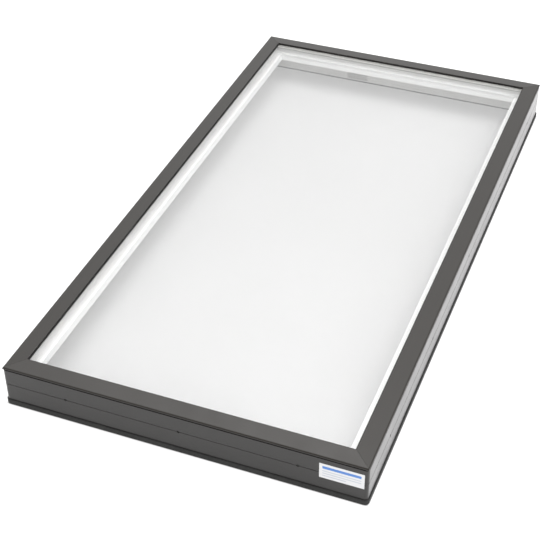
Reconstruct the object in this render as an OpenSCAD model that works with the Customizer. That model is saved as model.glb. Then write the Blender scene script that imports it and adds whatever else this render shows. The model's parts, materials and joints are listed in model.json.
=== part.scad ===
// Fixed curb-mounted roof skylight: sealed double glazing in a plastic inner frame, with a
// metal skirt that laps down over the roof curb and a mitred metal cap on top.
// The plan is a rectangle, the origin is at its centre on the ground, +Z is up, and the sill
// side (front) faces -Y. Cross sections are drawn as [u, z]: u runs inward from the outer
// edge of the cap, z runs up from the bottom of the edge trim.

/* [Curb] */
// Outside width of the roof curb that the skylight fits over
curb_w = 647.7; // [450:0.1:1200]
// Outside length of the roof curb
curb_l = 1257.3; // [600:0.1:1800]
// Thickness of the curb's timber
curb_t = 38.1; // [32:0.1:60]
// Depth by which the skylight laps down over the curb
curb_lap = 58; // [45:0.5:90]
// Play between the curb and the inside of the skirt, on each side
curb_play = 3.15; // [1:0.05:6]
// Thickness of the foam gasket that lies on the curb
curb_gasket_t = 3; // [1.5:0.5:6]
// Distance from the edges of the curb's top to the foam gasket
curb_gasket_inset = 4; // [2:0.5:10]

/* [Skirt] */
// Thickness of the skirt's metal
skirt_t = 1.6; // [1:0.1:2.5]
// Plan radius of the skirt's bent corners, outside
skirt_r = 6; // [4.5:0.5:14]
// Diameter of the fixing holes
hole_d = 5; // [3:0.5:7]
// Depth of the fixing holes below the top of the curb
hole_drop = 11; // [8:0.5:25]
// Fixing holes in the front and in the back
end_holes = 3; // [2:1:6]
// Fixing holes in each long side
side_holes = 5; // [2:1:9]
// Distance from the cap's edge to the first hole of the front and back
end_hole_margin = 118.6; // [60:0.1:160]
// Distance from the cap's edge to the first hole of the long sides
side_hole_margin = 117.4; // [60:0.1:200]
// Width of the drill-line groove
groove_w = 1.6; // [1:0.1:3]
// Depth of the drill-line groove
groove_depth = 0.5; // [0.2:0.1:0.7]
// Gap between the two ends of the skirt, which meet in the back
seam_gap = 0.4; // [0.2:0.1:1]
// Gap between the skirt's inward flange and the cap's leg
flange_clear = 0.2; // [0.1:0.1:0.5]

/* [Edge Trim] */
// Height of the trim's outer leg
trim_h = 12; // [6:0.5:16]
// Distance by which the trim stands proud of the skirt
trim_proud = 2; // [1:0.1:3]
// Thickness of the trim under the skirt's edge
trim_foot_t = 1.2; // [0.8:0.1:3]
// Thickness of the trim's bead inside the skirt
trim_bead_t = 1; // [0.6:0.1:1.5]
// Height of the trim's bead inside the skirt, above its foot
trim_bead_h = 1.4; // [0.6:0.1:4]

/* [Splice] */
// Width of the plate behind the skirt's seam
splice_w = 50; // [40:1:80]
// Thickness of the splice plate
splice_t = 1.2; // [0.8:0.1:1.5]
// Distance from the splice plate to the trim below and to the inner frame above
splice_margin = 3; // [1:0.5:8]
// Diameter of the rivets' shanks
rivet_d = 3.2; // [2.4:0.1:4]
// Diameter of the rivets' heads
rivet_head_d = 6.4; // [5:0.1:8]
// Diameter of the rivets' tails
rivet_tail_d = 4.8; // [4.2:0.1:6]
// Height of the rivets' heads and tails
rivet_head_h = 1; // [0.6:0.1:1.2]
// Play between a rivet and its hole, on the diameter
rivet_play = 0.1; // [0.05:0.05:0.3]
// Distance of the rivets from the seam
rivet_offset = 14; // [8:0.5:18]
// Distance from the rivets' heads to the edge trim and to the top of the splice plate
rivet_margin = 3; // [1:0.5:4]

/* [Inner Frame] */
// Play between the inner frame and the skirt
frame_play = 0.3; // [0.1:0.1:1]
// Thickness of the inner frame's outer wall
wall_t = 2.5; // [1.5:0.1:4]
// Width of the groove that holds the cap's leg
channel_w = 3; // [2.5:0.1:5]
// Thickness of the rib beside that groove
rib_t = 2; // [1.5:0.1:4]
// Height of the rib above the ledge
rib_h = 8; // [6:0.5:9]
// Thickness of the ledge under the glass
ledge_t = 3; // [2:0.1:6]
// Thickness of the liner that covers the curb's inner face
liner_t = 3; // [1.5:0.1:4]
// Height of that liner, from the underside of the ledge down
liner_h = 14.5; // [6:0.5:30]
// Play between the liner and the curb's inner face
liner_play = 0.75; // [0.25:0.05:2]
// Radius of the liner's upper and lower edges
liner_r = 1.5; // [0.5:0.1:1.5]

/* [Glazing] */
// Thickness of each glass pane
pane_t = 3; // [3:0.5:6]
// Air gap between the panes
air_gap = 11; // [9:0.5:20]
// Thickness of the setting blocks between the rib and the glass edge
block_t = 2.5; // [1.5:0.1:5]
// Length of a setting block
block_len = 60; // [30:1:120]
// Width of the sealant round the edge of the glass unit
sealant_w = 5; // [3:0.5:8]
// Width of the spacer between the panes
spacer_w = 7.2; // [5:0.1:12]
// Plan radius of the spacer's bent corners, inside
spacer_r = 3; // [1:0.5:5]
// Thickness of the tape that the glass unit lies on
tape_t = 1; // [0.5:0.1:3]
// Width of that tape
tape_w = 10; // [6:0.5:12]

/* [Cap] */
// Distance by which the cap overhangs the skirt
cap_overhang = 0; // [0:0.1:8]
// Width of the cap's flange, seen from above
cap_flange = 32; // [28:0.5:45]
// Thickness of the cap's metal
cap_t = 1.8; // [1.2:0.1:2.2]
// Outward fall of the flange, from its inner to its outer edge
cap_fall = 3; // [1:0.1:3.5]
// Radius of the cap's outer edge
cap_edge_r = 2.8; // [1:0.1:2.8]
// Height of the cap's outer edge
cap_edge_h = 3; // [2.8:0.1:5]
// Height of the shadow gap between the cap and the skirt
shadow_gap = 2.5; // [1.5:0.1:8]
// Play at the mitres of the cap
mitre_gap = 0.25; // [0.1:0.05:0.6]
// Thickness of the leg that snaps into the inner frame
leg_t = 1.6; // [1.2:0.1:2]
// Depth by which the leg reaches into the groove, below the rib's top
leg_reach = 3; // [3:0.5:5.5]
// Height of the barb on the leg
barb_h = 1.5; // [1:0.1:2]
// Thickness of the corner keys
key_t = 2.8; // [2:0.1:3.5]
// Height of the corner keys
key_h = 6; // [4:0.5:8]
// Length of each arm of a corner key
key_arm = 42; // [25:1:60]
// Distance from the corner keys up to the underside of the cap
key_drop = 0.8; // [0.3:0.1:2]

/* [Seals] */
// Thickness of the gasket between the glass and the cap
gasket_t = 2.2; // [1.8:0.1:4]
// Thickness of the gasket's base, under the cap's inner edge
gasket_base_t = 1.2; // [0.8:0.1:1.4]
// Width of the gasket's base
gasket_w = 10; // [8:0.5:14]
// Width of the gasket's rib, which fills the space under the cap's flange
gasket_rib_w = 4; // [2:0.5:6]
// Thickness of the gasket at its tip, which shows inside the cap
gasket_tip_t = 0.5; // [0.3:0.1:1]
// Distance inside the cap's edge at which the gasket starts to slope down to its tip
gasket_shoulder = 0.5; // [0:0.1:0.5]
// Distance by which the gasket shows inside the cap
gasket_reach = 2; // [0.5:0.5:4]
// Width of the strip that seals the shadow gap
seal_w = 2.8; // [2:0.1:3]
// Gap at the corners between two strips of gasket, seal or tape
strip_gap = 0.5; // [0.2:0.1:2]
// Thickness of the tape behind the fixing holes, which seals round the screws
screw_seal_t = 2; // [1:0.1:2.5]
// Height of that tape
screw_seal_h = 14; // [8:0.5:20]
// Gap between that tape and the splice plate
screw_seal_gap = 0.5; // [0.2:0.1:2]

/* [Label] */
// Width of the label on the front
label_w = 76; // [40:1:120]
// Height of the label
label_h = 32; // [20:1:40]
// Thickness of the label
label_t = 0.2; // [0.1:0.1:0.5]
// Distance from the label to the bend of the skirt's corner
label_margin = 0.5; // [0:0.5:40]
// Height of the label's lower edge
label_z = 36; // [17:0.5:40]

/* [Hidden] */
$fn = 64;
SIDES = ["front", "right", "back", "left"];
CORNERS = ["front_right", "back_right", "back_left", "front_left"];

// Insets, from the cap's outer edge inward
skirt_u = cap_overhang;
skirt_in_u = skirt_u + skirt_t;
curb_u = skirt_in_u + curb_play;
curb_in_u = curb_u + curb_t;
frame_u = skirt_in_u + frame_play;
channel_u = frame_u + wall_t;
rib_u = channel_u + channel_w;
ledge_u = rib_u + rib_t;
glass_u = ledge_u + block_t;
spacer_u = glass_u + sealant_w;
sight_u = spacer_u + spacer_w;
liner_in_u = curb_in_u + liner_play;
liner_u = liner_in_u + liner_t;
leg_u = channel_u + (channel_w - leg_t) / 2;
flange_end_u = leg_u - flange_clear;
trim_u = skirt_u - trim_proud;
corner_u = skirt_u + skirt_r;

// Overall size
cap_w = curb_w + 2 * curb_u;
cap_l = curb_l + 2 * curb_u;

// Heights, from the bottom up
frame_z = curb_lap + curb_gasket_t;
ledge_z = frame_z + ledge_t;
glass_z = ledge_z + tape_t;
gap_z = glass_z + pane_t;
upper_z = gap_z + air_gap;
glass_top_z = upper_z + pane_t;
cap_top_z = glass_top_z + gasket_t + cap_t;
cap_edge_z = cap_top_z - cap_fall;
cap_lip_z = cap_edge_z - cap_edge_h;
skirt_top_z = cap_lip_z - shadow_gap;
wall_top_z = skirt_top_z - skirt_t;
rib_top_z = ledge_z + rib_h;
leg_z = rib_top_z - leg_reach;
hole_z = curb_lap - hole_drop;
splice_z = trim_foot_t + trim_bead_h + splice_margin;
splice_h = frame_z - splice_margin - splice_z;

// Places of the holes, along each side
end_pitch = (cap_w - 2 * end_hole_margin) / (end_holes - 1);
side_pitch = (cap_l - 2 * side_hole_margin) / (side_holes - 1);
seam_x = end_pitch / 2;

// The flange's top and underside, at an inset u
cap_slope = cap_fall / cap_flange;
function top_z(u) = cap_edge_z + cap_slope * u;
function under_z(u) = top_z(u) - cap_t;

// Side i of the rectangle: its length, and the depth of the rectangle behind it
function run(i) = i % 2 == 0 ? cap_w : cap_l;
function depth(i) = i % 2 == 0 ? cap_l : cap_w;

// How far a cutter runs past the faces it cuts
over = 1;

CAP_COLOUR = "#5f5c58";
SKIRT_COLOUR = "#55524f";
RUBBER = "#262524";
PLASTIC = "#ecece8";
ALUMINIUM = "#b9bbbd";
GLASS = "#dfeae6";
SPACER = "#cfceca";
SEALANT = "#2c2c2c";
BLOCK_RUBBER = "#46484a";
TAPE = "#8f8f8c";
FOAM = "#3a3a3a";
LABEL = "#f2f2f0";

// ---- Placing along the four sides ----

// Brings what is drawn for the front, with x along the side and y inward, to side i
module at_side(i) {
    rotate([0, 0, 90 * i]) translate([0, -depth(i) / 2, 0]) children();
}

// Extrudes a [u, z] section along side i, centred, over the given length
module along_side(i, length) {
    at_side(i) translate([-length / 2, 0, 0]) rotate([90, 0, 90]) linear_extrude(length) children();
}

// The stretch of side i that lies between its two 45 degree mitres, less half a gap at each
module mitre_plan(i, reach, gap) {
    half = run(i) / 2 - gap / sqrt(2);
    at_side(i) linear_extrude(cap_top_z + over)
        polygon([[-half, 0], [half, 0], [half - reach, reach], [reach - half, reach]]);
}

// A length of side i with mitred ends, from a [u, z] section no wider than reach
module mitred_side(i, reach, gap) {
    intersection() {
        along_side(i, run(i)) children();
        mitre_plan(i, reach, gap);
    }
}

// Bends a [u, z] section round the corner at the far end of side i, about the corner's axis
module bent_corner(i) {
    at_side(i) translate([run(i) / 2 - corner_u, corner_u, 0]) rotate([0, 0, -90])
        rotate_extrude(angle = 90) translate([corner_u, 0]) mirror([1, 0]) children();
}

// A rectangle with rounded corners, whose edges lie at inset u
module rounded_plan(u, r) {
    w = cap_w - 2 * u;
    l = cap_l - 2 * u;
    square([w - 2 * r, l], center = true);
    square([w, l - 2 * r], center = true);
    for (x = [-1, 1], y = [-1, 1]) translate([x * (w / 2 - r), y * (l / 2 - r)]) circle(r);
}

// A plain rectangle whose edges lie at inset u
module plan(u) {
    square([cap_w - 2 * u, cap_l - 2 * u], center = true);
}

// ---- Cap ----

// What is cut off to round the flange's outer edge, tangent to its side and its sloping top
module cap_edge_cut() {
    fall_angle = atan(cap_slope);
    r = cap_edge_r;
    axis_z = top_z(r) - r / cos(fall_angle);
    far = r + over;
    difference() {
        polygon([
            [-over, axis_z], [r, axis_z],
            [r - far * sin(fall_angle), axis_z + far * cos(fall_angle)],
            [-over, axis_z + far * cos(fall_angle)]
        ]);
        translate([r, axis_z]) circle(r);
    }
}

module cap_section() {
    inner_edge_u = cap_flange - cap_t;
    inner_edge_z = glass_top_z + gasket_base_t;
    leg_in_u = leg_u + leg_t;
    barb_z = leg_z + barb_h / 2;
    barb_top_z = barb_z + barb_h;
    difference() {
        polygon([
            [0, cap_lip_z], [0, cap_edge_z],
            [cap_flange, cap_top_z], [cap_flange, inner_edge_z],
            [inner_edge_u, inner_edge_z], [inner_edge_u, under_z(inner_edge_u)],
            // Down the leg's inner face, round its barb, which fills the groove's width
            [leg_in_u, under_z(leg_in_u)], [leg_in_u, barb_top_z],
            [rib_u, barb_top_z], [rib_u, barb_z],
            [leg_in_u, leg_z], [leg_u, leg_z],
            [channel_u, barb_z], [channel_u, barb_top_z],
            // Up its outer face and out to the lip
            [leg_u, barb_top_z], [leg_u, under_z(leg_u)],
            [cap_t, under_z(cap_t)], [cap_t, cap_lip_z]
        ]);
        cap_edge_cut();
    }
}

module cap(i) {
    color(CAP_COLOUR) mitred_side(i, cap_flange + over, mitre_gap) cap_section();
}

// An angle behind the legs of two caps, at the far end of side i
module cap_key(i) {
    u = leg_u + leg_t;
    z = under_z(u) - key_drop - key_h;
    color(ALUMINIUM) at_side(i) translate([run(i) / 2 - u, u, z]) {
        translate([-key_arm, 0, 0]) cube([key_arm, key_t, key_h]);
        translate([-key_t, 0, 0]) cube([key_t, key_arm, key_h]);
    }
}

// ---- Seals ----

// Fills the shadow gap behind its mouth, between the skirt's flange and the cap
module cap_seal(i) {
    u = flange_end_u - seal_w;
    color(RUBBER) along_side(i, run(i) - 2 * corner_u) polygon([
        [u, skirt_top_z], [flange_end_u, skirt_top_z],
        [flange_end_u, under_z(flange_end_u)], [u, under_z(u)]
    ]);
}

module gasket_section() {
    tip_u = cap_flange + gasket_reach;
    base_z = glass_top_z + gasket_base_t;
    rib_end_u = cap_flange - cap_t;
    rib_start_u = rib_end_u - gasket_rib_w;
    polygon([
        [tip_u - gasket_w, glass_top_z], [tip_u, glass_top_z],
        [tip_u, glass_top_z + gasket_tip_t], [cap_flange + gasket_shoulder, base_z],
        [rib_end_u, base_z], [rib_end_u, under_z(rib_end_u)],
        [rib_start_u, under_z(rib_start_u)], [rib_start_u, base_z],
        [tip_u - gasket_w, base_z]
    ]);
}

module glazing_gasket(i) {
    color(RUBBER) mitred_side(i, cap_flange + gasket_reach + over, strip_gap) gasket_section();
}

module glazing_tape(i) {
    color(TAPE) mitred_side(i, sight_u + over, strip_gap)
        translate([sight_u - tape_w, ledge_z]) square([tape_w, tape_t]);
}

module curb_gasket(i) {
    color(FOAM) mitred_side(i, curb_in_u + over, strip_gap)
        translate([curb_u + curb_gasket_inset, curb_lap])
            square([curb_t - 2 * curb_gasket_inset, curb_gasket_t]);
}

// A strip inside the skirt, behind the fixing holes, which leaves room for the splice plate
module screw_seal(i) {
    color(RUBBER) difference() {
        along_side(i, run(i) - 2 * corner_u)
            translate([skirt_in_u, hole_z - screw_seal_h / 2]) square([screw_seal_t, screw_seal_h]);
        at_side(2) translate([seam_x - splice_w / 2 - screw_seal_gap, skirt_in_u - over, 0])
            cube([splice_w + 2 * screw_seal_gap, screw_seal_t + 2 * over, cap_top_z]);
    }
}

// ---- Glass unit ----

module pane(z) {
    color(GLASS, 0.35) translate([0, 0, z]) linear_extrude(pane_t) plan(glass_u);
}

module outer_pane() {
    pane(upper_z);
}

module inner_pane() {
    pane(glass_z);
}

module spacer_frame() {
    color(SPACER) translate([0, 0, gap_z]) linear_extrude(air_gap) difference() {
        rounded_plan(spacer_u, spacer_r + spacer_w);
        rounded_plan(sight_u, spacer_r);
    }
}

module edge_sealant() {
    color(SEALANT) translate([0, 0, gap_z]) linear_extrude(air_gap) difference() {
        plan(glass_u);
        rounded_plan(spacer_u, spacer_r + spacer_w);
    }
}

// A block between the rib and the glass unit's edge, at one of side i's quarter points
module setting_block(i, along) {
    quarter = run(i) / 4;
    color(BLOCK_RUBBER) at_side(i)
        translate([along * quarter - block_len / 2, ledge_u, ledge_z])
            cube([block_len, block_t, tape_t + pane_t + air_gap]);
}

// ---- Inner frame ----

// The ledge under the glass, the outer wall, and the rib that holds the cap's leg
module frame_section() {
    translate([frame_u, frame_z]) square([liner_in_u - frame_u, ledge_t]);
    translate([frame_u, frame_z]) square([wall_t, wall_top_z - frame_z]);
    translate([rib_u, frame_z]) square([rib_t, rib_top_z - frame_z]);
}

// The frame's outer corners follow the inside of the skirt's bend
module inner_frame(i) {
    color(PLASTIC) intersection() {
        mitred_side(i, liner_in_u + over, 0) frame_section();
        linear_extrude(cap_top_z) rounded_plan(frame_u, corner_u - frame_u);
    }
}

// A strip at the end of the ledge, whose edges are rounded on the side of the light well
module liner_section() {
    bottom_z = frame_z - liner_h;
    axis_u = liner_u - liner_r;
    difference() {
        translate([liner_in_u, bottom_z]) square([liner_t, ledge_z - bottom_z]);
        translate([axis_u, ledge_z - liner_r]) difference() {
            square(liner_r + over);
            circle(liner_r);
        }
        translate([axis_u, bottom_z + liner_r]) difference() {
            translate([0, -liner_r - over]) square(liner_r + over);
            circle(liner_r);
        }
    }
}

module curb_liner(i) {
    color(PLASTIC) mitred_side(i, liner_u + over, 0) liner_section();
}

// ---- Skirt ----

// The skirt's wall, with the V-shaped drill line in its outer face
module skirt_wall_section() {
    difference() {
        translate([skirt_u, trim_foot_t]) square([skirt_t, skirt_top_z - trim_foot_t]);
        translate([skirt_u, hole_z]) polygon([
            [-over, groove_w], [0, groove_w / 2], [groove_depth, 0],
            [0, -groove_w / 2], [-over, -groove_w]
        ]);
    }
}

module skirt_flange_section() {
    translate([skirt_u, wall_top_z]) square([flange_end_u - skirt_u, skirt_t]);
}

// Fixing holes of side i, from its outside inward
module fixing_holes(i) {
    count = i % 2 == 0 ? end_holes : side_holes;
    pitch = i % 2 == 0 ? end_pitch : side_pitch;
    for (k = [0 : count - 1])
        at_side(i) translate([(k - (count - 1) / 2) * pitch, skirt_u - over, hole_z])
            rotate([-90, 0, 0]) cylinder(h = skirt_t + 2 * over, d = hole_d);
}

// Puts what is drawn at the foot of each rivet, with +Z inward, on the seam in the back
module at_rivets() {
    low_z = trim_h + rivet_margin + rivet_head_d / 2;
    high_z = splice_z + splice_h - rivet_margin - rivet_head_d / 2;
    mid_z = (low_z + high_z) / 2;
    for (x = [-1, 1], z = [low_z, mid_z, high_z])
        at_side(2) translate([seam_x + x * rivet_offset, skirt_u, z]) rotate([-90, 0, 0]) children();
}

module rivet_holes(u, depth) {
    at_rivets() translate([0, 0, u - skirt_u - over])
        cylinder(h = depth + 2 * over, d = rivet_d + rivet_play);
}

module skirt_band() {
    color(SKIRT_COLOUR) difference() {
        union() {
            for (i = [0 : 3]) {
                along_side(i, run(i) - 2 * corner_u) {
                    skirt_wall_section();
                    skirt_flange_section();
                }
                bent_corner(i) skirt_wall_section();
            }
        }
        for (i = [0 : 3]) fixing_holes(i);
        rivet_holes(skirt_u, skirt_t);
        at_side(2) translate([seam_x - seam_gap / 2, skirt_u - over, 0])
            cube([seam_gap, flange_end_u - skirt_u + 2 * over, cap_top_z]);
    }
}

module splice_plate() {
    color(ALUMINIUM) difference() {
        at_side(2) translate([seam_x - splice_w / 2, skirt_in_u, splice_z])
            cube([splice_w, splice_t, splice_h]);
        rivet_holes(skirt_in_u, splice_t);
    }
}

// One rivet with a domed head outside the skirt and a flat tail behind the splice plate
module rivet() {
    grip = skirt_t + splice_t;
    head_r = rivet_head_d / 2;
    dome_r = (head_r * head_r + rivet_head_h * rivet_head_h) / (2 * rivet_head_h);
    rotate_extrude() {
        intersection() {
            translate([0, dome_r - rivet_head_h]) circle(dome_r);
            translate([0, -rivet_head_h]) square([head_r, rivet_head_h]);
        }
        square([rivet_d / 2, grip]);
        translate([0, grip]) square([rivet_tail_d / 2, rivet_head_h]);
    }
}

module seam_rivets() {
    color(ALUMINIUM) at_rivets() rivet();
}

module trim_section() {
    r = trim_proud;
    difference() {
        union() {
            translate([trim_u, 0]) square([trim_proud, trim_h]);
            translate([trim_u, 0])
                square([trim_proud + skirt_t + trim_bead_t, trim_foot_t]);
            translate([skirt_in_u, 0]) square([trim_bead_t, trim_foot_t + trim_bead_h]);
        }
        // Rounded outer edges, below and above
        translate([trim_u + r, r]) difference() {
            translate([-r - over, -r - over]) square(r + over);
            circle(r);
        }
        translate([trim_u + r, trim_h - r]) difference() {
            translate([-r - over, 0]) square(r + over);
            circle(r);
        }
    }
}

module edge_trim() {
    color(RUBBER) for (i = [0 : 3]) {
        along_side(i, run(i) - 2 * corner_u) trim_section();
        bent_corner(i) trim_section();
    }
}

// ---- Label ----

module label() {
    flat_end = cap_w / 2 - corner_u;
    color(LABEL) at_side(0)
        translate([flat_end - label_margin - label_w, skirt_u - label_t, label_z])
            cube([label_w, label_t, label_h]);
}

// ---- The assembly ----

for (i = [0 : 3]) {
    cap(i);
    cap_key(i);
    cap_seal(i);
    glazing_gasket(i);
    glazing_tape(i);
    inner_frame(i);
    curb_liner(i);
    curb_gasket(i);
    screw_seal(i);
    setting_block(i, -1);
    setting_block(i, 1);
}
outer_pane();
inner_pane();
spacer_frame();
edge_sealant();
skirt_band();
splice_plate();
seam_rivets();
edge_trim();
label();
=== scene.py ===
import json
import math

import bpy
from mathutils import Matrix, Vector


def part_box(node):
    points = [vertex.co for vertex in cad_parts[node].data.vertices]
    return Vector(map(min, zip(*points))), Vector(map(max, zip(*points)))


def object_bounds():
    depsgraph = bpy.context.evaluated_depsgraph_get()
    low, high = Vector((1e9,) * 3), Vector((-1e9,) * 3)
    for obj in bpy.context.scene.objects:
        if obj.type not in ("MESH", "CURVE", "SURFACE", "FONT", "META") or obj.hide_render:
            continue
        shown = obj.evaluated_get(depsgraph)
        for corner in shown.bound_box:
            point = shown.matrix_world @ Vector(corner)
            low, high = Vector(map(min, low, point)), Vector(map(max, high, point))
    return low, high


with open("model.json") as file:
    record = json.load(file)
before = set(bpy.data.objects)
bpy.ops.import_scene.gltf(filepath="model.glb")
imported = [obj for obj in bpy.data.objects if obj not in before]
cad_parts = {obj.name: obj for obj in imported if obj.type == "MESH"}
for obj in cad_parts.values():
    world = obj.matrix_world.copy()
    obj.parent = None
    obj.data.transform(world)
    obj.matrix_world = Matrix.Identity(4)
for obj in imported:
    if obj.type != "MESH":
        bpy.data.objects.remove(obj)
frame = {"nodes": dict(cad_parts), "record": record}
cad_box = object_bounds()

MM = 0.001

# Camera: where it stands, where it looks, its roll in degrees and its focal length in mm
CAMERA_PLACE = (0.6935, -1.9756, 1.5735)
CAMERA_AZIMUTH, CAMERA_ELEVATION, CAMERA_ROLL = 21.518, 38.308, -0.384
CAMERA_LENS = 85.94

# Strength of the sky: high up, at the horizon, its share where it is dark, and what is added overhead
SKY, SKY_LOW, SKY_DARK_SHARE, SKY_TOP = 1.36, 1.0, 0.15, 2.2

# The studio's table: half its side, its shade, and the light it gives of itself beside and under the part;
# the weaker glow under the part is a painted shade there
FLOOR_HALF = 14.0
FLOOR_SHADE = (0.49, 0.51)
FLOOR_GLOW, FLOOR_GLOW_UNDER = 0.62, 0.18

# Softboxes, which all face the origin: place and watts, and the side of their square
SOFTBOXES = {"key": ((2.6, 0.6, 2.6), 60), "fill": ((0.6, -2.8, 2.6), 100)}
SOFTBOX_SIDE = 3.0

# The skirt's sheet and the outer radius of its bends, which tell its inside from its outside
SKIRT_SHEET, SKIRT_BEND_R = 1.6 * MM, 6 * MM
# Share of clear skin that the powder coat shows edge-on, and how steeply that share falls off
GRAZING_SKIN, GRAZING_POWER = 0.85, 8.0


# ---- Camera, at the photograph's angle ----

def aim(obj, place, azimuth, elevation, roll):
    """Stands obj at place, looking down by elevation and turned by azimuth from +Y, in degrees."""
    az, el = math.radians(azimuth), math.radians(elevation)
    look = Vector((-math.sin(az) * math.cos(el), math.cos(az) * math.cos(el), -math.sin(el)))
    turn = look.to_track_quat("-Z", "Y").to_matrix().to_4x4()
    obj.matrix_world = Matrix.Translation(place) @ turn @ Matrix.Rotation(math.radians(roll), 4, "Z")


def add_camera():
    data = bpy.data.cameras.new("camera")
    data.sensor_width = 36
    data.lens = CAMERA_LENS
    data.clip_end = 60
    camera = bpy.data.objects.new("camera", data)
    bpy.context.scene.collection.objects.link(camera)
    aim(camera, CAMERA_PLACE, CAMERA_AZIMUTH, CAMERA_ELEVATION, CAMERA_ROLL)
    bpy.context.scene.camera = camera


# ---- Nodes ----

class Nodes:
    """A node tree that is built from calls: add() makes a node, and sets or links its inputs."""

    def __init__(self, tree):
        self.tree = tree
        tree.nodes.clear()

    def add(self, kind, inputs=None, **settings):
        node = self.tree.nodes.new(kind)
        for key, value in settings.items():
            setattr(node, key, value)
        for key, value in (inputs or {}).items():
            if isinstance(value, bpy.types.NodeSocket):
                self.tree.links.new(value, node.inputs[key])
            else:
                node.inputs[key].default_value = value
        return node

    def math(self, operation, a, b=0.0):
        return self.add("ShaderNodeMath", {0: a, 1: b}, operation=operation).outputs[0]

    def noise(self, where, scale, detail=2.0, stretch=None, roughness=0.5):
        """A noise of about one lump per 1/scale metres; stretch scales it along each axis."""
        if stretch:
            where = self.add("ShaderNodeVectorMath", {0: where, 1: stretch}, operation="MULTIPLY").outputs[0]
        inputs = {"Vector": where, "Scale": scale, "Detail": detail, "Roughness": roughness}
        return self.add("ShaderNodeTexNoise", inputs).outputs["Fac"]

    def spread(self, value, low, high, source=(0.3, 0.7)):
        """Maps a noise's usual range onto low to high."""
        inputs = {"Value": value, "From Min": source[0], "From Max": source[1], "To Min": low, "To Max": high}
        return self.add("ShaderNodeMapRange", inputs).outputs["Result"]

    def mix(self, factor, a, b):
        node = self.add("ShaderNodeMix", {"Factor": factor}, data_type="RGBA")
        for socket, value in ((node.inputs[6], a), (node.inputs[7], b)):
            if isinstance(value, bpy.types.NodeSocket):
                self.tree.links.new(value, socket)
            else:
                socket.default_value = (*value, 1)
        return node.outputs[2]

    def bump(self, height, strength, distance):
        inputs = {"Height": height, "Strength": strength, "Distance": distance}
        return self.add("ShaderNodeBump", inputs).outputs["Normal"]

    def where(self):
        return self.add("ShaderNodeTexCoord").outputs["Object"]


def material(name):
    mat = bpy.data.materials.new(name)
    mat.use_nodes = True
    return mat, Nodes(mat.node_tree)


def finish_surface(n, shader):
    n.add("ShaderNodeOutputMaterial", {"Surface": shader})


def principled(n, **inputs):
    named = {key.replace("_", " "): value for key, value in inputs.items()}
    return n.add("ShaderNodeBsdfPrincipled", named).outputs["BSDF"]


# ---- Materials ----

def powder_coat(name, colour, inner=None):
    """Satin powder coat: fine orange peel, faint metallic fleck, uneven gloss over some centimetres,
    and a clear skin of binder that shines at grazing angles."""
    mat, n = material(name)
    at = n.where()
    fleck = n.spread(n.noise(at, 2600, 1), 0.86, 1.16)
    cloud = n.spread(n.noise(at, 14, 3), 0.96, 1.04)
    shade = n.math("MULTIPLY", fleck, cloud)
    base = n.mix(1.0, (0, 0, 0), colour)
    base = n.add("ShaderNodeVectorMath", {0: base, "Scale": shade}, operation="SCALE").outputs[0]
    if inner is not None:
        base = n.mix(inner_face(n, at), base, inner)
    peel = n.noise(at, 700, 2)
    normal = n.bump(peel, 0.16, 0.0001)
    rough = n.spread(n.noise(at, 22, 3), 0.28, 0.36)
    paint = principled(n, Base_Color=base, Roughness=rough, Normal=normal, IOR=1.5)
    skin = n.add("ShaderNodeBsdfGlossy",
                 {"Color": (0.95, 0.94, 0.95, 1), "Roughness": rough, "Normal": normal})
    facing = n.add("ShaderNodeLayerWeight", {"Blend": 0.5, "Normal": normal}).outputs["Facing"]
    edge_on = n.math("MULTIPLY", n.math("POWER", facing, GRAZING_POWER), GRAZING_SKIN)
    mixed = n.add("ShaderNodeMixShader", {0: edge_on, 1: paint, 2: skin.outputs[0]}).outputs[0]
    finish_surface(n, mixed)
    return mat


def inner_face(n, at):
    """1 on the inside of the skirt's wall, 0 on its outside, in its holes and on its flange."""
    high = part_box("skirt_band")[1]
    margin = 0.1 * MM
    axes = n.add("ShaderNodeSeparateXYZ", {0: at}).outputs
    squares = []
    for axis, reach in ((axes["X"], high.x), (axes["Y"], high.y)):
        past = n.math("SUBTRACT", n.math("ABSOLUTE", axis), reach - SKIRT_BEND_R)
        squares.append(n.math("POWER", n.math("MAXIMUM", past, 0.0), 2.0))
    distance = n.math("SQRT", n.math("ADD", *squares))
    inside = n.math("LESS_THAN", distance, SKIRT_BEND_R - SKIRT_SHEET + margin)
    below_flange = n.math("LESS_THAN", axes["Z"], high.z - SKIRT_SHEET + margin)
    return n.math("MULTIPLY", inside, below_flange)


def vinyl(name, colour):
    """White extruded vinyl: faint die lines along the length, soft sheen, light through its skin."""
    mat, n = material(name)
    at = n.where()
    tone = n.mix(n.spread(n.noise(at, 30, 3), 0, 1), [c * 0.975 for c in colour], colour)
    lines = n.noise(at, 1, 2, stretch=(900, 900, 1400))
    normal = n.bump(lines, 0.05, 0.00008)
    rough = n.spread(n.noise(at, 60, 2), 0.44, 0.54)
    finish_surface(n, principled(n, Base_Color=tone, Roughness=rough, Normal=normal, IOR=1.52,
                                 Subsurface_Weight=0.12, Subsurface_Radius=(0.004, 0.004, 0.0036),
                                 Subsurface_Scale=0.5))
    return mat


def rubber(name, colour, grain=1600.0, rough=(0.55, 0.75), height=0.00012):
    """Extruded or cellular rubber: a fine matte grain, a little bloom."""
    mat, n = material(name)
    at = n.where()
    bloom = n.spread(n.noise(at, 45, 4), 0, 1)
    base = n.mix(bloom, colour, [c * 1.35 + 0.004 for c in colour])
    cells = n.noise(at, grain, 3, roughness=0.6)
    normal = n.bump(cells, 0.35, height)
    finish_surface(n, principled(n, Base_Color=base, Roughness=n.spread(cells, *rough),
                                 Normal=normal, IOR=1.4))
    return mat


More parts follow.
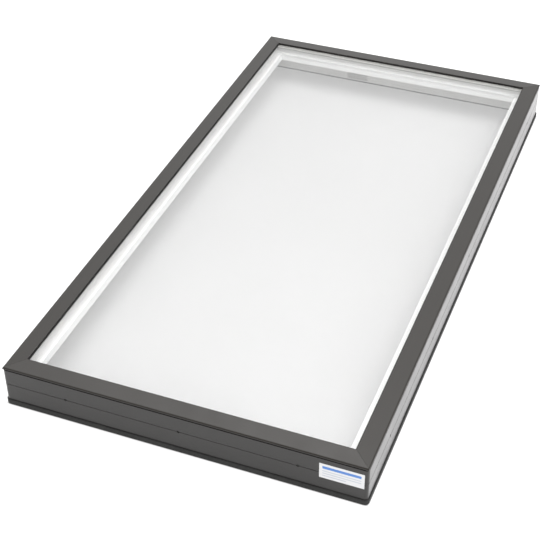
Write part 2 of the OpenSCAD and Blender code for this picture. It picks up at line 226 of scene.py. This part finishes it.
def foam(name, colour, cell=900.0):
    """Closed-cell foam: round pores, each with a painted shade on its floor."""
    mat, n = material(name)
    at = n.where()
    pores = n.add("ShaderNodeTexVoronoi", {"Vector": at, "Scale": cell}, feature="F1").outputs["Distance"]
    pit = n.spread(pores, 0, 1, source=(0.1, 0.55))
    # Pore floors take a darker colour: painted shade in the pores.
    base = n.mix(pit, [c * 0.72 for c in colour], colour)
    normal = n.bump(pit, 0.4, 0.0002)
    finish_surface(n, principled(n, Base_Color=base, Roughness=0.85, Normal=normal, IOR=1.45))
    return mat


def aluminium(name, colour):
    """Mill-finish aluminium: rolling lines along the length and a slight cloud of oxide."""
    mat, n = material(name)
    at = n.where()
    lines = n.noise(at, 1, 3, stretch=(60, 60, 2600))
    base = n.mix(n.spread(n.noise(at, 90, 3), 0, 1), [c * 0.88 for c in colour], colour)
    rough = n.spread(lines, 0.32, 0.48)
    normal = n.bump(lines, 0.08, 0.00006)
    finish_surface(n, principled(n, Base_Color=base, Metallic=1.0, Roughness=rough, Normal=normal))
    return mat


def glass(name, tint, clear):
    """Low-emissivity float glass. Light for what lies below passes straight through, tinted."""
    mat, n = material(name)
    at = n.where()
    normal = n.bump(n.noise(at, 5, 1), 0.02, 0.0004)
    body = principled(n, Base_Color=(*tint, 1), Roughness=0.0, IOR=1.52,
                      Transmission_Weight=1.0, Normal=normal)
    through = n.add("ShaderNodeBsdfTransparent", {"Color": (*clear, 1)}).outputs[0]
    path = n.add("ShaderNodeLightPath").outputs
    straight = n.math("MAXIMUM", path["Is Shadow Ray"], path["Is Diffuse Ray"])
    mixed = n.add("ShaderNodeMixShader", {0: straight, 1: body, 2: through}).outputs[0]
    finish_surface(n, mixed)
    return mat


def label_print(name, colour):
    """White film with a plain blue band and three grey rules, which say nothing. A bar's four limits are
    shares of the label's width and height."""
    mat, n = material(name)
    low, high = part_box("label")
    axes = n.add("ShaderNodeSeparateXYZ", {0: n.where()}).outputs
    x = n.math("DIVIDE", n.math("SUBTRACT", axes["X"], low.x), high.x - low.x)
    z = n.math("DIVIDE", n.math("SUBTRACT", axes["Z"], low.z), high.z - low.z)

    def bar(x0, x1, z0, z1):
        inside = [n.math("GREATER_THAN", x, x0), n.math("LESS_THAN", x, x1),
                  n.math("GREATER_THAN", z, z0), n.math("LESS_THAN", z, z1)]
        return n.math("MULTIPLY", n.math("MULTIPLY", *inside[:2]), n.math("MULTIPLY", *inside[2:]))

    paper = n.mix(n.spread(n.noise(n.where(), 120, 3), 0, 1), [c * 0.97 for c in colour], colour)
    base = n.mix(bar(0.07, 0.93, 0.66, 0.84), paper, (0.07, 0.19, 0.5))
    for x1, z0 in ((0.93, 0.47), (0.93, 0.31), (0.6, 0.15)):
        base = n.mix(bar(0.07, x1, z0, z0 + 0.06), base, (0.42, 0.45, 0.5))
    normal = n.bump(n.noise(n.where(), 500, 2), 0.05, 0.0001)
    finish_surface(n, principled(n, Base_Color=base, Roughness=0.32, Normal=normal, IOR=1.5))
    return mat


def paint_nodes():
    made = {
        "cap_metal": powder_coat("powder_coat_cap", (0.017, 0.0145, 0.012)),
        # The skirt's paint is the cap's paint made a little darker: a painted shade for its upright faces,
        # which get less light.
        "skirt_metal": powder_coat("powder_coat_skirt", (0.0135, 0.0122, 0.0113), inner=(0.62, 0.62, 0.60)),
        "key_metal": aluminium("mill_aluminium", (0.62, 0.63, 0.64)),
        "plate_metal": aluminium("plate_aluminium", (0.45, 0.44, 0.43)),
        "seal_rubber": rubber("seal_rubber", (0.012, 0.012, 0.0115)),
        "block_rubber": rubber("block_rubber", (0.06, 0.065, 0.07), grain=900.0),
        "tape": foam("tape_foam", (0.40, 0.40, 0.39), cell=1500.0),
        "curb_foam": foam("curb_foam", (0.04, 0.04, 0.04)),
        "edge_sealant": rubber("edge_sealant", (0.025, 0.025, 0.025), grain=400.0),
        "spacer_foam": foam("spacer_foam", (0.84, 0.83, 0.80), cell=2200.0),
        "frame_plastic": vinyl("white_vinyl", (0.95, 0.955, 0.945)),
        "glass": glass("low_e_glass", (0.91, 0.91, 0.91), (0.99, 0.99, 0.99)),
        "label_film": label_print("label_print", (0.62, 0.62, 0.63)),
    }
    for part in frame["record"]["subparts"]:
        obj = frame["nodes"][part["node"]]
        for place in obj.material_slots:
            place.material = made[part["material_slot"]]


# ---- Floor, world and lights ----

def add_floor():
    corners = [(x * FLOOR_HALF, y * FLOOR_HALF, 0) for x, y in ((-1, -1), (1, -1), (1, 1), (-1, 1))]
    mesh = bpy.data.meshes.new("floor")
    mesh.from_pydata(corners, [], [(0, 1, 2, 3)])
    floor = bpy.data.objects.new("floor", mesh)
    bpy.context.scene.collection.objects.link(floor)
    mat, n = material("studio_floor")
    at = n.where()
    dark, light = [(shade, shade, shade) for shade in FLOOR_SHADE]
    base = n.mix(n.spread(n.noise(at, 2.5, 3), 0, 1), dark, light)
    high, blend = cad_box[1], 2 * MM
    axes = n.add("ShaderNodeSeparateXYZ", {0: at}).outputs
    past = [n.math("SUBTRACT", n.math("ABSOLUTE", axes[axis]), high[i]) for i, axis in enumerate("XY")]
    # Emission strength: the full glow beside the part, and a weaker glow under its footprint as painted
    # shade.
    outside = n.spread(n.math("MAXIMUM", *past), FLOOR_GLOW_UNDER, FLOOR_GLOW, source=(-blend, blend))
    finish_surface(n, principled(n, Base_Color=base, Roughness=0.9, Specular_IOR_Level=0.0,
                                 Emission_Color=(1, 1, 1, 1), Emission_Strength=outside,
                                 Normal=n.bump(n.noise(at, 220, 2), 0.03, 0.0004)))
    mesh.materials.append(mat)


def add_world():
    """A pale sky, dark on the camera's side and low at the back right, with one bright patch overhead."""
    world = bpy.data.worlds.new("studio")
    world.use_nodes = True
    bpy.context.scene.world = world
    n = Nodes(world.node_tree)
    toward = n.add("ShaderNodeTexCoord").outputs["Generated"]

    def lobe(way, near, far, low, high):
        """low where the cosine to way is below far, high where it is above near, smooth between."""
        along = n.add("ShaderNodeVectorMath", {0: toward, 1: Vector(way).normalized()},
                      operation="DOT_PRODUCT").outputs["Value"]
        return n.add("ShaderNodeMapRange", {"Value": along, "From Min": far, "From Max": near,
                                            "To Min": low, "To Max": high},
                     interpolation_type="SMOOTHSTEP").outputs["Result"]

    height = lobe((0.0, 0.0, 1.0), 0.72, 0.25, SKY_LOW, SKY)
    camera_side = lobe((0.15, -0.8, 0.6), 0.92, 0.35, 1.0, SKY_DARK_SHARE)
    back_right = lobe((0.65, 0.72, 0.15), 0.97, 0.80, 1.0, SKY_DARK_SHARE)
    overhead = lobe((-0.1, 0.35, 0.93), 0.985, 0.90, 0.0, SKY_TOP)
    glow = n.math("MULTIPLY", n.math("MULTIPLY", height, camera_side), back_right)
    glow = n.math("ADD", glow, overhead)
    shine = n.add("ShaderNodeBackground", {"Color": (1.0, 1.0, 1.0, 1), "Strength": glow}).outputs[0]
    n.add("ShaderNodeOutputWorld", {"Surface": shine})


def add_softbox(name, place, power):
    """A square lamp that lights the part but shows in no reflection and through no glass."""
    data = bpy.data.lights.new(name, "AREA")
    data.shape = "SQUARE"
    data.size = SOFTBOX_SIDE
    data.energy = power
    light = bpy.data.objects.new(name, data)
    light.visible_glossy = False
    light.visible_transmission = False
    bpy.context.scene.collection.objects.link(light)
    turn = (-Vector(place)).to_track_quat("-Z", "Y").to_matrix().to_4x4()
    light.matrix_world = Matrix.Translation(place) @ turn


add_camera()
add_floor()
add_world()
for lamp, (lamp_place, lamp_power) in SOFTBOXES.items():
    add_softbox(lamp, lamp_place, lamp_power)
paint_nodes()
bpy.context.scene.view_settings.view_transform = "Standard"
